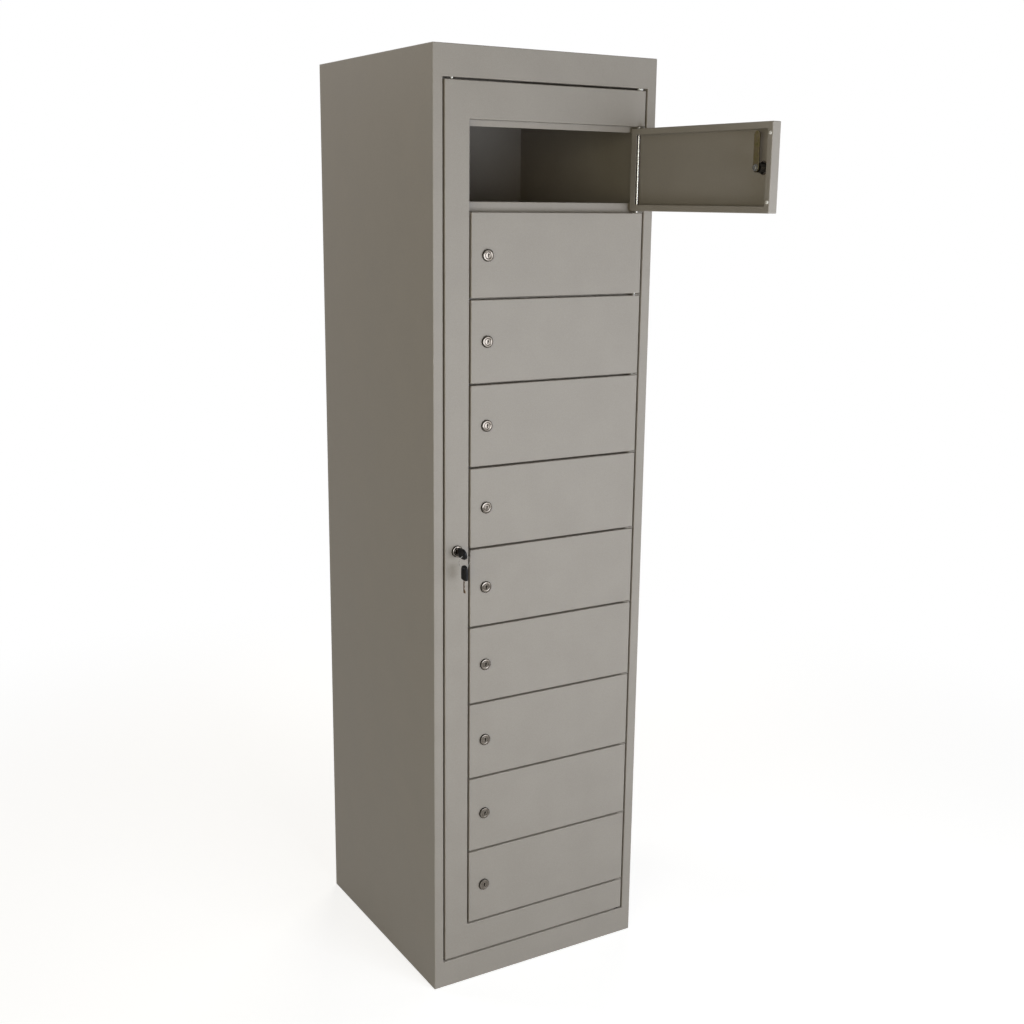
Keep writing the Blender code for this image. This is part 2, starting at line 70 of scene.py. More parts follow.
def addNode(tree, kind, settings=None, values=None, links=None, stops=()):
    node = tree.nodes.new("ShaderNode" + kind)
    for name, value in (settings or {}).items():
        setattr(node, name, value)
    for socket, value in (values or {}).items():
        node.inputs[socket].default_value = value
    for socket, source in (links or {}).items():
        tree.links.new(source, node.inputs[socket])
    if stops:
        elements = node.color_ramp.elements
        while len(elements) < len(stops):
            elements.new(0.5)
        for element, (position, colour) in zip(elements, stops):
            element.position = position
            element.color = linear(colour)
    return node


def startMaterial(name, values):
    material = bpy.data.materials.new(name)
    material.use_nodes = True
    tree = material.node_tree
    shader = tree.nodes["Principled BSDF"]
    for socket, value in values.items():
        shader.inputs[socket].default_value = value
    place = addNode(tree, "TexCoord").outputs["Object"]
    return material, tree, shader, place


# Layers of finer noise in each pattern
noiseDetail = {"cloud": 3.0, "grain": 2.0, "lines": 2.0, "peel": 1.0, "wave": 0.0}


# Polyester powder coat on sheet steel: satin, with a fine orange peel that breaks up
# the highlights, and a sheet that is never quite flat, so broad reflections wander
powderCoat = {
    "colour": "#AAA399",
    "deep": "#A0998F",
    "tintSpan": (0.45, 1.0),
    "cloudMm": 90.0,
    "cloudShare": 0.55,   # weight of the broad cloud beside the grain
    "grainMm": 1.2,       # sprayed grain, drawn about twice as coarse as it is so that it shows
    "peelMm": 2.6,
    "peelDepthMm": 0.011,
    "waveMm": 210.0,
    "waveDepthMm": 0.16,
    "roughness": (0.42, 0.52),
    "ior": 1.5,
    "gloss": 0.2,         # the texture scatters much of the mirror reflection
}


def makePowderCoat(name):
    look = powderCoat
    material, tree, shader, place = startMaterial(name, {"IOR": look["ior"],
                                                         "Specular IOR Level": look["gloss"]})
    cloud = addNode(tree, "TexNoise", values={"Scale": 1 / (look["cloudMm"] * mm),
                                              "Detail": noiseDetail["cloud"]}, links={"Vector": place})
    grain = addNode(tree, "TexNoise", values={"Scale": 1 / (look["grainMm"] * mm),
                                              "Detail": noiseDetail["grain"]}, links={"Vector": place})
    mixed = addNode(tree, "Math", {"operation": "MULTIPLY_ADD"}, {1: look["cloudShare"]},
                    {0: cloud.outputs["Fac"], 2: grain.outputs["Fac"]})
    tint = addNode(tree, "ValToRGB", links={"Fac": mixed.outputs[0]},
                   stops=list(zip(look["tintSpan"], (look["deep"], look["colour"]))))
    tree.links.new(tint.outputs["Color"], shader.inputs["Base Color"])
    low, high = look["roughness"]
    rough = addNode(tree, "MapRange", values={"To Min": low, "To Max": high},
                    links={"Value": cloud.outputs["Fac"]})
    tree.links.new(rough.outputs["Result"], shader.inputs["Roughness"])
    wave = addNode(tree, "TexNoise", values={"Scale": 1 / (look["waveMm"] * mm),
                                             "Detail": noiseDetail["wave"]}, links={"Vector": place})
    sheet = addNode(tree, "Bump", values={"Strength": 1.0, "Distance": look["waveDepthMm"] * mm},
                    links={"Height": wave.outputs["Fac"]})
    peel = addNode(tree, "TexNoise", values={"Scale": 1 / (look["peelMm"] * mm),
                                             "Detail": noiseDetail["peel"]}, links={"Vector": place})
    coat = addNode(tree, "Bump", values={"Strength": 1.0, "Distance": look["peelDepthMm"] * mm},
                   links={"Height": peel.outputs["Fac"], "Normal": sheet.outputs["Normal"]})
    tree.links.new(coat.outputs["Normal"], shader.inputs["Normal"])
    return material


# Plated metals: the base metal's tint, a cloudy plating and fine lines or ripples
cloudSpan = (0.3, 0.7)    # nearly all of a noise's values lie between these
platings = {
    # nickel-chrome on a zinc casting: a warm grey mirror, faintly rippled, with finger haze, its tint kept far
    # darker than real chrome as a painted dark reflection
    "chromedZincCasting": {"tints": ("#5F5952", "#736C64"), "roughness": (0.08, 0.20),
                           "cloudMm": 5.0, "lineMm": (1.5, 1.5, 1.5), "depthMm": 0.006},
    # the casting's wall and thread: nearly black, half glossy, a painted dark reflection of dark surroundings on
    # the bezel's side
    "paintedDarkReflectionCasting": {"tints": ("#1D1B18", "#2A2824"), "roughness": (0.26, 0.40),
                        "cloudMm": 3.0, "lineMm": (0.7, 0.7, 0.7), "depthMm": 0.006},
    # nickelled spring-steel wire of the key ring: a dull mid grey
    "nickelledSpringWire": {"tints": ("#7C7A76", "#979590"), "roughness": (0.22, 0.34),
                            "cloudMm": 6.0, "lineMm": (0.8, 0.8, 0.8), "depthMm": 0.004},
    # bright zinc on drawn steel wire: white metal with drawing lines along its length
    "brightZincWire": {"tints": ("#C4C4C1", "#D2D2CF"), "roughness": (0.20, 0.30),
                       "cloudMm": 9.0, "lineMm": (0.5, 0.5, 40.0), "depthMm": 0.0015},
    # yellow-passivated zinc on pressed steel: olive gold that drifts to green and rose
    "yellowZincSteel": {"tints": ("#585437", "#6C6344", "#635746", "#706C4E"),
                        "roughness": (0.34, 0.48), "cloudMm": 7.0,
                        "lineMm": (0.9, 0.9, 0.9), "depthMm": 0.015},
    # clear-passivated zinc on a cold-headed screw and its washer, toned down to a soft mid grey: a painted dark
    # reflection
    "zincScrewSteel": {"tints": ("#72716D", "#8B8A86"), "roughness": (0.24, 0.36),
                       "cloudMm": 4.0, "lineMm": (0.6, 0.6, 0.6), "depthMm": 0.005},
    # worn nickel-plated brass key stock: brown metal, milled along the blade
    "nickelBrass": {"tints": ("#5A4937", "#75614B"), "roughness": (0.25, 0.40),
                    "cloudMm": 4.0, "lineMm": (0.4, 8.0, 0.4), "depthMm": 0.010},
}


def makePlating(name):
    look = platings[name]
    material, tree, shader, place = startMaterial(name, {"Metallic": 1.0})
    cloud = addNode(tree, "TexNoise", values={"Scale": 1 / (look["cloudMm"] * mm),
                                              "Detail": noiseDetail["cloud"]}, links={"Vector": place})
    first, last = cloudSpan
    gap = (last - first) / (len(look["tints"]) - 1)
    tint = addNode(tree, "ValToRGB", links={"Fac": cloud.outputs["Fac"]},
                   stops=[(first + gap * i, colour) for i, colour in enumerate(look["tints"])])
    tree.links.new(tint.outputs["Color"], shader.inputs["Base Color"])
    low, high = look["roughness"]
    rough = addNode(tree, "MapRange", values={"From Min": first, "From Max": last, "To Min": low,
                                              "To Max": high},
                    links={"Value": cloud.outputs["Fac"]})
    tree.links.new(rough.outputs["Result"], shader.inputs["Roughness"])
    stretch = addNode(tree, "Mapping", values={"Scale": [1 / (size * mm) for size in look["lineMm"]]},
                      links={"Vector": place})
    lines = addNode(tree, "TexNoise", values={"Scale": 1.0, "Detail": noiseDetail["lines"]},
                    links={"Vector": stretch.outputs["Vector"]})
    ripple = addNode(tree, "Bump", values={"Strength": 1.0, "Distance": look["depthMm"] * mm},
                     links={"Height": lines.outputs["Fac"]})
    tree.links.new(ripple.outputs["Normal"], shader.inputs["Normal"])
    return material


# Plastics and rubber: moulded, with a fine spark-eroded grain and slight flow clouds
mouldMarks = {"flowMm": 6.0, "tintSpan": (0.35, 0.65), "grainDepthMm": 0.012}
mouldings = {
    "whiteNylon": {"tints": ("#E4E2DA", "#F1F0EA"), "roughness": 0.42, "ior": 1.53, "gloss": 0.5,
                   "grainMm": 0.8},
    "blackNylon": {"tints": ("#131314", "#1D1D1E"), "roughness": 0.48, "ior": 1.53, "gloss": 0.15,
                   "grainMm": 0.8},
    "blackAbs": {"tints": ("#121214", "#1B1B1D"), "roughness": 0.36, "ior": 1.54, "gloss": 0.12,
                 "grainMm": 0.6},
    "paleRubber": {"tints": ("#D6D2C6", "#E6E2D8"), "roughness": 0.55, "ior": 1.45, "gloss": 0.4,
                   "grainMm": 0.9},
}


def makeMoulding(name):
    look = mouldings[name]
    material, tree, shader, place = startMaterial(name, {"Roughness": look["roughness"],
                                                         "IOR": look["ior"],
                                                         "Specular IOR Level": look["gloss"]})
    flow = addNode(tree, "TexNoise", values={"Scale": 1 / (mouldMarks["flowMm"] * mm),
                                             "Detail": noiseDetail["grain"]}, links={"Vector": place})
    tint = addNode(tree, "ValToRGB", links={"Fac": flow.outputs["Fac"]},
                   stops=list(zip(mouldMarks["tintSpan"], look["tints"])))
    tree.links.new(tint.outputs["Color"], shader.inputs["Base Color"])
    grain = addNode(tree, "TexNoise", values={"Scale": 1 / (look["grainMm"] * mm),
                                              "Detail": noiseDetail["grain"]}, links={"Vector": place})
    spark = addNode(tree, "Bump", values={"Strength": 1.0, "Distance": mouldMarks["grainDepthMm"] * mm},
                    links={"Height": grain.outputs["Fac"]})
    tree.links.new(spark.outputs["Normal"], shader.inputs["Normal"])
    return material


finishes = {"cabinetPowderCoat": makePowderCoat("cabinetPowderCoat"),
            "doorPowderCoat": makePowderCoat("doorPowderCoat")}
finishes.update({name: makePlating(name) for name in platings})
finishes.update({name: makeMoulding(name) for name in mouldings})
print("materials made:", len(finishes))

slotFinish = {"cabinet_paint": "cabinetPowderCoat", "door_paint": "doorPowderCoat",
              "bright_zinc": "brightZincWire", "lock_chrome": "chromedZincCasting",
              "yellow_zinc": "yellowZincSteel", "white_nylon": "whiteNylon",
              "black_nylon": "blackNylon", "key_plastic": "blackAbs"}
for part in frame["record"]["subparts"]:
    node = frame["nodes"][part["node"]]
    if not node.material_slots:
        node.data.materials.append(None)
    node.material_slots[0].material = finishes[slotFinish[part["material_slot"]]]


# Shaping steps that the pieces share
creases = {"fold": 35.0, "rim": 15.0, "bow": 60.0, "shade": 40.0}     # degrees
roundness = {"bar": 48, "turned": 64, "small": 32, "keyHole": 40, "hexagon": 6, "dome": 10,
             "corner": 10, "rim": 3, "edge": 2}                       # segments
quarter = math.radians(90)


def isVert(item):
    return isinstance(item, bmesh.types.BMVert)


def sharpEdges(shape, degrees=creases["fold"]):
    shape.normal_update()
    return [edge for edge in shape.edges
            if len(edge.link_faces) == 2 and edge.calc_face_angle() > math.radians(degrees)]


def roundEdges(shape, edges, radius, steps):
    bmesh.ops.bevel(shape, geom=edges, offset=radius, offset_type="OFFSET", segments=steps,
                    profile=0.5, affect="EDGES", material=-1, clamp_overlap=True)


def weld(shape):
    bmesh.ops.remove_doubles(shape, verts=shape.verts, dist=weldReach)


def pullEdges(shape, edges, travel):
    pulled = bmesh.ops.extrude_edge_only(shape, edges=edges)
    ends = [item for item in pulled["geom"] if isVert(item)]
    bmesh.ops.translate(shape, vec=travel, verts=ends)
    return ends


def pushFaces(shape, faces, travel):
    pushed = bmesh.ops.extrude_face_region(shape, geom=faces, use_keep_orig=True)
    bmesh.ops.translate(shape, vec=travel, verts=[item for item in pushed["geom"] if isVert(item)])
    bmesh.ops.recalc_face_normals(shape, faces=shape.faces)


def block(low, high):
    shape = bmesh.new()
    bmesh.ops.create_cube(shape, size=1.0)
    bmesh.ops.scale(shape, vec=Vector(high) - Vector(low), verts=shape.verts)
    bmesh.ops.translate(shape, vec=(Vector(high) + Vector(low)) / 2, verts=shape.verts)
    return shape


def roundBar(radius, start, end, steps=roundness["bar"]):
    shape = bmesh.new()
    line = Vector(end) - Vector(start)
    bmesh.ops.create_cone(shape, cap_ends=True, segments=steps, radius1=radius, radius2=radius,
                          depth=line.length)
    turn = line.to_track_quat("Z", "Y").to_matrix().to_4x4()
    middle = (Vector(start) + Vector(end)) / 2
    bmesh.ops.transform(shape, matrix=Matrix.Translation(middle) @ turn, verts=shape.verts)
    return shape


# Turn a closed profile of (radius, depth) points round the Y axis
def turnRound(profile, edgeRadius=0.0, steps=roundness["turned"]):
    shape = bmesh.new()
    points = [shape.verts.new((radius, depth, 0.0)) for radius, depth in profile]
    edges = [shape.edges.new(pair) for pair in zip(points, points[1:] + points[:1])]
    bmesh.ops.spin(shape, geom=points + edges, cent=(0, 0, 0), axis=(0, 1, 0),
                   angle=2 * math.pi, steps=steps, use_merge=True)
    weld(shape)
    bmesh.ops.recalc_face_normals(shape, faces=shape.faces)
    if edgeRadius:
        roundEdges(shape, sharpEdges(shape), edgeRadius, roundness["edge"])
    return shape


def toMesh(shape, name):
    mesh = bpy.data.meshes.new(name)
    shape.to_mesh(mesh)
    shape.free()
    return mesh


def addObject(name, mesh):
    thing = bpy.data.objects.new(name, mesh)
    bpy.context.scene.collection.objects.link(thing)
    return thing


def cutOut(shape, cutters):
    work = addObject("work", toMesh(shape, "work"))
    tools = []
    for cutter in cutters:
        tools.append(addObject("tool", toMesh(cutter, "tool")))
        step = work.modifiers.new("cut", "BOOLEAN")
        step.solver = "EXACT"
        step.object = tools[-1]
    bpy.context.view_layer.update()
    solved = work.evaluated_get(bpy.context.evaluated_depsgraph_get())
    result = bmesh.new()
    result.from_mesh(solved.data)
    for thing in [work] + tools:
        bpy.data.objects.remove(thing, do_unlink=True)
    return result


# Put a finished shape in the scene: smooth, with its folds kept crisp, riding on its body
def addPiece(name, shape, finish, body, replaced=(), place=None):
    if place:
        bmesh.ops.transform(shape, matrix=place, verts=shape.verts)
    mesh = toMesh(shape, name)
    mesh.shade_smooth()
    mesh.set_sharp_from_angle(angle=math.radians(creases["shade"]))
    mesh.materials.append(finishes[finish])
    piece = addObject(name, mesh)
    even = piece.modifiers.new("evenNormals", "WEIGHTED_NORMAL")
    even.keep_sharp = True
    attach(piece, body)
    if replaced:
        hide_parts(*replaced)
    return piece


# Cabinet: one welded shell of folded sheet, so no joint shows at the stiles
sheetSteel = {"thickness": 1.0 * mm, "bend": 1.8 * mm, "bendSteps": 5}
shell = {"rearFlange": 15.0 * mm, "rodHole": 2.9 * mm, "holeReach": 4.0 * mm, "flatAngle": 1.0}


def gridFaces(shape, xs, zs, y, leftOut):
    for column in range(len(xs) - 1):
        for row in range(len(zs) - 1):
            if (column, row) not in leftOut:
                ring = ((xs[column], zs[row]), (xs[column + 1], zs[row]),
                        (xs[column + 1], zs[row + 1]), (xs[column], zs[row + 1]))
                shape.faces.new([shape.verts.new((x, y, z)) for x, z in ring])
    weld(shape)


def foldAndThicken(shape):
    roundEdges(shape, sharpEdges(shape), sheetSteel["bend"], sheetSteel["bendSteps"])
    bmesh.ops.solidify(shape, geom=shape.faces[:], thickness=sheetSteel["thickness"])


def makeCabinetShell():
    left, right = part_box("left_side"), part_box("right_side")
    base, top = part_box("base_panel"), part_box("top_panel")
    xs = [left[0].x, left[1].x, right[0].x, right[1].x]
    zs = [base[0].z, base[1].z, top[0].z, top[1].z]
    shape = bmesh.new()
    gridFaces(shape, xs, zs, frontY, [(1, 1)])
    rims = [edge for edge in shape.edges if len(edge.link_faces) == 1]
    middles = {edge: (edge.verts[0].co + edge.verts[1].co) / 2 for edge in rims}
    inner = [edge for edge in rims
             if xs[0] < middles[edge].x < xs[3] and zs[0] < middles[edge].z < zs[3]]
    outer = [edge for edge in rims if edge not in inner]
    returns = [edge for edge in inner if middles[edge].x < xs[2]]
    pullEdges(shape, returns, (0, lipY - frontY, 0))
    pullEdges(shape, outer, (0, left[1].y - frontY, 0))
    # Flanges at the rear of both sides, mitred at their ends
    rear = [edge for edge in shape.edges if len(edge.link_faces) == 1
            and min(vert.co.y for vert in edge.verts) > left[1].y - closeBy]
    for side, way in ((xs[0], 1), (xs[3], -1)):
        edges = [edge for edge in rear
                 if all(abs(vert.co.x - side) < closeBy for vert in edge.verts)]
        ends = pullEdges(shape, edges, (way * shell["rearFlange"], 0, 0))
        for height, down in ((zs[0], 1), (zs[3], -1)):
            tips = [vert for vert in ends if abs(vert.co.z - height) < closeBy]
            bmesh.ops.translate(shape, vec=(0, 0, down * shell["rearFlange"]), verts=tips)
    bmesh.ops.dissolve_limit(shape, angle_limit=math.radians(shell["flatAngle"]), verts=shape.verts,
                             edges=shape.edges)
    bmesh.ops.recalc_face_normals(shape, faces=shape.faces)
    foldAndThicken(shape)
    holes = [roundBar(shell["rodHole"], (hingeLine.x, hingeLine.y, z - shell["holeReach"]),
                      (hingeLine.x, hingeLine.y, z + shell["holeReach"])) for z in zs[1:3]]
    addPiece("cabinetShell", cutOut(shape, holes), "cabinetPowderCoat", "cabinet",
             ("left_side", "right_side", "base_panel", "top_panel"))


# Shelves: a flat sheet folded down at the front and the rear
shelfSheet = {"rearLip": 15.0 * mm, "lockRoom": 1.0 * mm}


def foldSheet(line, low, high):
    shape = bmesh.new()
    points = [shape.verts.new((low, y, z)) for y, z in line]
    edges = [shape.edges.new(pair) for pair in zip(points, points[1:])]
    pullEdges(shape, edges, (high - low, 0, 0))
    shape.normal_update()
    widest = max(shape.faces, key=lambda face: face.calc_area())
    if widest.normal.z < 0:
        bmesh.ops.reverse_faces(shape, faces=shape.faces)
    foldAndThicken(shape)
    return shape


def makeShelves():
    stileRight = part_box("master_stile")[1].x
    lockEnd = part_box("master_lock_cam")[1].y + shelfSheet["lockRoom"]
    for name in [f"shelf_{number}" for number in doorNumbers] + ["top_stop_rail"]:
        low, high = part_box(name)
        line = [(high.y, high.z), (low.y, high.z), (low.y, low.z)]
        if name != "top_stop_rail":
            line = [(high.y, high.z - shelfSheet["rearLip"])] + line
        corner = block((low.x - cutterPast, low.y - cutterPast, low.z - cutterPast),
                       (stileRight, lockEnd, high.z + cutterPast))
        addPiece(name.replace("_", "") + "Sheet", cutOut(foldSheet(line, low.x, high.x), [corner]),
                 "cabinetPowderCoat", "cabinet", (name,))


# Doors and the master frame: trays of folded sheet with lips behind
tray = {"lip": 12.0 * mm, "hingeLip": 16.6 * mm, "rodHole": 2.9 * mm, "lockHole": 9.3 * mm,
        "holeReach": 3.0 * mm}


def foldTray(xs, zs, front, back, leftOut=()):
    shape = bmesh.new()
    gridFaces(shape, xs, zs, back, leftOut)
    rear = shape.faces[:]
    pushFaces(shape, rear, (0, front - back, 0))
    bmesh.ops.inset_region(shape, faces=rear, thickness=tray["lip"], use_even_offset=True,
                           use_boundary=True)
    mouth = {vert for face in rear for vert in face.verts}
    rim = max(vert.co.x for vert in mouth)
    hingeSide = [vert for vert in mouth if vert.co.x > rim - closeBy]
    bmesh.ops.translate(shape, vec=(tray["lip"] - tray["hingeLip"], 0, 0), verts=hingeSide)
    bmesh.ops.delete(shape, geom=rear, context="FACES")
    foldAndThicken(shape)
    return shape


def rodHole(x, y, low, high):
    return roundBar(tray["rodHole"], (x, y, low - cutterPast), (x, y, high + cutterPast))


def lockHole(place):
    x, y, z = place
    reach = tray["holeReach"]
    return roundBar(tray["lockHole"], (x, y - reach, z), (x, y + reach, z))


def makeMasterFrame():
    stile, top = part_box("master_stile"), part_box("master_top_rail")
    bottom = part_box("master_bottom_rail")
    xs = [stile[0].x, stile[1].x, top[1].x]
    zs = [stile[0].z, bottom[1].z, top[0].z, stile[1].z]
    shape = foldTray(xs, zs, frontY, lipY, [(1, 1)])
    holes = [rodHole(hingeLine.x, hingeLine.y, low.z, high.z) for low, high in (bottom, top)]
    holes.append(lockHole(joints["master_lock_turn"]["pos_m"]))
    addPiece("masterFrame", cutOut(shape, holes), "doorPowderCoat", "master_door",
             ("master_stile", "master_top_rail", "master_bottom_rail"))


# A door's own frame: on the hinge line at mid-height, turned as far as the door stands open
closedDoor = doorNumbers[-1]
doorOrigin = Vector(joints[f"door_{closedDoor}_swing"]["pos_m"])
lockOffset = Vector(joints[f"lock_{closedDoor}_turn"]["pos_m"]) - doorOrigin


def doorPlace(number):
    swing = joints[f"door_{number}_swing"]
    openBy = math.radians(-swing["range_deg"][0])
    return Matrix.Translation(swing["pos_m"]) @ Matrix.Rotation(openBy, 4, "Z")


# Rubber bumpers on the lock-side lip, with a rounded head
bumper = {"radius": 3.6 * mm, "height": 3.0 * mm, "fromEdge": 5.5 * mm, "fromEnd": 20.0 * mm,
          "seat": 0.1 * mm}


def domeShape(radius, height):
    angles = [quarter * i / roundness["dome"] for i in range(roundness["dome"] + 1)]
    arc = [(radius * math.cos(angle), height * math.sin(angle)) for angle in angles]
    return turnRound([(0.0, 0.0)] + arc, steps=roundness["small"])


def makeDoors():
    low, high = [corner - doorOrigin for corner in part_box(f"door_{closedDoor}")]
    shape = foldTray([low.x, high.x], [low.z, high.z], low.y, high.y)
    shape = cutOut(shape, [rodHole(0, 0, low.z, high.z), lockHole(lockOffset)])
    for number in doorNumbers:
        place = doorPlace(number)
        addPiece(f"doorTray_{number}", shape.copy(), "doorPowderCoat", f"door_{number}",
                 (f"door_{number}",), place)
        for end, height in (("Top", high.z - bumper["fromEnd"]),
                            ("Bottom", low.z + bumper["fromEnd"])):
            spot = Matrix.Translation((low.x + bumper["fromEdge"], high.y + bumper["seat"], height))
            addPiece(f"bumper{end}_{number}", domeShape(bumper["radius"], bumper["height"]),
                     "paleRubber", f"door_{number}", (), place @ spot)
    shape.free()


# Hinge rod with chamfered ends, the washers on it and the nylon buffer over the master door
rod = {"chamfer": 0.8 * mm, "washerEdge": 0.5 * mm}
buffer = {"x": -209.0 * mm, "behindFront": 3.2 * mm, "radius": 2.6 * mm, "height": 3.6 * mm}
upright = Matrix.Rotation(quarter, 4, "X")


def makeHinge():
    low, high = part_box("hinge_rod")
    radius = (high.x - low.x) / 2
    chamfer = rod["chamfer"]
    profile = [(0, 0), (radius - chamfer, 0), (radius, chamfer), (radius, high.z - low.z - chamfer),
               (radius - chamfer, high.z - low.z), (0, high.z - low.z)]
    place = Matrix.Translation((hingeLine.x, hingeLine.y, low.z)) @ upright
    addPiece("hingeRod", turnRound(profile, steps=roundness["bar"]), "brightZincWire", "cabinet",
             ("hinge_rod",), place)
    for node, name, finish, slot in (("upper_washer", "upperWasher", "whiteNylon", "white_nylon"),
                                     ("lower_washer", "lowerWasher", "blackNylon", "black_nylon")):
        low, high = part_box(node)
        outer = (high.x - low.x) / 2
        bore = tray["rodHole"]
        height = high.z - low.z
        profile = [(bore, 0), (outer, 0), (outer, height), (bore, height)]
        place = Matrix.Translation((hingeLine.x, hingeLine.y, low.z)) @ upright
        addPiece(name, turnRound(profile, rod["washerEdge"]), finish, "cabinet", (node,), place)
    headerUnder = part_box("top_panel")[0].z
    place = Matrix.Translation((buffer["x"], frontY + buffer["behindFront"], headerUnder))
    addPiece("frameBuffer", domeShape(buffer["radius"], buffer["height"]), "whiteNylon", "cabinet",
             (), place @ upright.inverted())


# Cam locks, modelled about the point where the lock's axis meets the door's face
camLock = {
    "rim": 11.8 * mm, "rimTop": -3.1 * mm, "edgeRadius": 10.95 * mm, "edgeTop": -3.85 * mm,
    "recess": -3.2 * mm, "bore": 6.3 * mm, "seat": -0.3 * mm, "barrel": 9.0 * mm,
    "threadPitch": 1.25 * mm, "threadDepth": 0.55 * mm, "threadStart": 1.5 * mm,
    "threadEnd": 20.0 * mm, "end": 20.7 * mm, "flats": 8.0 * mm, "flatsStart": 1.2 * mm,
    "edge": 0.25 * mm, "slack": 0.1 * mm,
}
lockFace = {"outer": 10.9 * mm, "outerTop": -3.85 * mm, "crest": 7.7 * mm, "crestTop": -4.45 * mm,
            "inner": 6.3 * mm, "innerTop": -4.0 * mm, "under": -3.25 * mm, "domeSteps": 6,
            "edge": 0.2 * mm}
lockNut = {"across": 22.0 * mm, "bore": 9.05 * mm, "from": 1.3 * mm, "to": 6.3 * mm,
           "edge": 0.5 * mm}
lockPlug = {"radius": 6.0 * mm, "face": -3.7 * mm, "end": 20.9 * mm, "edge": 0.4 * mm,
            "slot": (2.2 * mm, 7.6 * mm), "ward": (1.2 * mm, 2.4 * mm, 1.6 * mm),
            "slotDepth": 12.0 * mm}
lockCam = {"width": 14.0 * mm, "from": 21.0 * mm, "to": 23.5 * mm, "edge": 0.4 * mm,
           "doorReach": 64.0 * mm, "masterReach": -42.0 * mm}
camScrew = {"washer": 6.4 * mm, "washerTo": 24.4 * mm, "head": 4.9 * mm, "headTo": 27.5 * mm,
            "edge": 0.4 * mm}


def makeBarrel():
    look = camLock
    profile = [(look["bore"], look["end"]), (look["bore"], look["recess"]),
               (look["edgeRadius"], look["recess"]), (look["edgeRadius"], look["edgeTop"]),
               (look["rim"], look["rimTop"]), (look["rim"], look["seat"]),
               (look["barrel"], look["seat"]), (look["barrel"], look["threadStart"])]
    turns = int((look["threadEnd"] - look["threadStart"]) / look["threadPitch"])
    for turn in range(turns):
        start = look["threadStart"] + turn * look["threadPitch"]
        profile.append((look["barrel"] - look["threadDepth"], start + look["threadPitch"] / 2))
        profile.append((look["barrel"], start + look["threadPitch"]))
    profile.append((look["barrel"], look["end"]))
    shape = turnRound(profile)
    crisp = []
    for edge in sharpEdges(shape, creases["rim"]):
        spot = edge.verts[0].co
        deepest = max(vert.co.y for vert in edge.verts)
        if (deepest < look["seat"] + look["slack"]
                and math.hypot(spot.x, spot.z) > look["edgeRadius"] - look["slack"]):
            crisp.append(edge)
    roundEdges(shape, crisp, look["edge"], roundness["rim"])
    sides = []
    for way in (-1, 1):
        near, far = sorted((way * look["flats"], way * 2 * look["flats"]))
        sides.append(block((-look["rim"], look["flatsStart"], near),
                           (look["rim"], 2 * look["end"], far)))
    return cutOut(shape, sides)


# The polished ring round the plug, domed so that its left and right show different reflections
def makeFaceRing():
    look = lockFace
    profile = [(look["inner"], look["under"]), (look["inner"], look["innerTop"])]
    for step in range(look["domeSteps"] + 1):
        share = step / look["domeSteps"]
        profile.append((look["crest"] + share * (look["outer"] - look["crest"]),
                        look["crestTop"] + share ** 2 * (look["outerTop"] - look["crestTop"])))
    profile.append((look["outer"], look["under"]))
    return turnRound(profile, look["edge"])


def makeNut():
    cornerRadius = lockNut["across"] / math.sqrt(3)
    shape = roundBar(cornerRadius, (0, lockNut["from"], 0), (0, lockNut["to"], 0), roundness["hexagon"])
    roundEdges(shape, shape.edges[:], lockNut["edge"], roundness["edge"])
    bore = roundBar(lockNut["bore"], (0, -lockNut["to"], 0), (0, 3 * lockNut["to"], 0),
                    roundness["turned"])
    return cutOut(shape, [bore])


def makePlug():
    radius = lockPlug["radius"]
    profile = [(0, lockPlug["face"]), (radius, lockPlug["face"]), (radius, lockPlug["end"]),
               (0, lockPlug["end"])]
    shape = turnRound(profile, lockPlug["edge"])
    width, height = lockPlug["slot"]
    slotEnd = lockPlug["face"] + lockPlug["slotDepth"]
    slotStart = lockPlug["face"] - cutterPast
    slot = block((-width / 2, slotStart, -height / 2), (width / 2, slotEnd, height / 2))
    wardWidth, wardHeight, wardRise = lockPlug["ward"]
    ward = block((0, slotStart, wardRise - wardHeight / 2),
                 (wardWidth + width / 2, slotEnd, wardRise + wardHeight / 2))
    return cutOut(shape, [slot, ward])


# A flat bar with round ends: half of a circle pulled along
def makeCam(reach):
    half = lockCam["width"] / 2
    steps = roundness["bar"]
    shape = bmesh.new()
    bmesh.ops.create_circle(shape, cap_ends=True, segments=steps, radius=half)
    tilt = upright @ Matrix.Rotation(math.pi / steps, 4, "Z")
    bmesh.ops.transform(shape, matrix=tilt, verts=shape.verts)
    way = math.copysign(1.0, reach)
    far = [vert for vert in shape.verts if vert.co.z * way > 0]
    bmesh.ops.translate(shape, vec=(0, 0, reach - way * half), verts=far)
    bmesh.ops.translate(shape, vec=(0, lockCam["from"], 0), verts=shape.verts)
    pushFaces(shape, shape.faces[:], (0, lockCam["to"] - lockCam["from"], 0))
    roundEdges(shape, sharpEdges(shape), lockCam["edge"], roundness["edge"])
    return shape


def makeCamScrew():
    washerFrom = lockCam["to"]
    shape = turnRound([(0, washerFrom), (camScrew["washer"], washerFrom),
                       (camScrew["washer"], camScrew["washerTo"]), (0, camScrew["washerTo"])],
                      camScrew["edge"] / 2, roundness["small"])
    head = roundBar(camScrew["head"], (0, camScrew["washerTo"], 0), (0, camScrew["headTo"], 0),
                    roundness["hexagon"])
    caps = [face for face in head.faces if face.normal.y > squareOn]
    bmesh.ops.inset_region(head, faces=caps, thickness=camScrew["edge"], depth=0)
    flat = {vert for face in caps for vert in face.verts}
    rim = [vert for vert in head.verts
           if vert.co.y > camScrew["headTo"] - camScrew["edge"] / 2 and vert not in flat]
    bmesh.ops.translate(head, vec=(0, -camScrew["edge"], 0), verts=rim)
    joined = bpy.data.meshes.new("work")
    head.to_mesh(joined)
    head.free()
    shape.from_mesh(joined)
    bpy.data.meshes.remove(joined)
    return shape


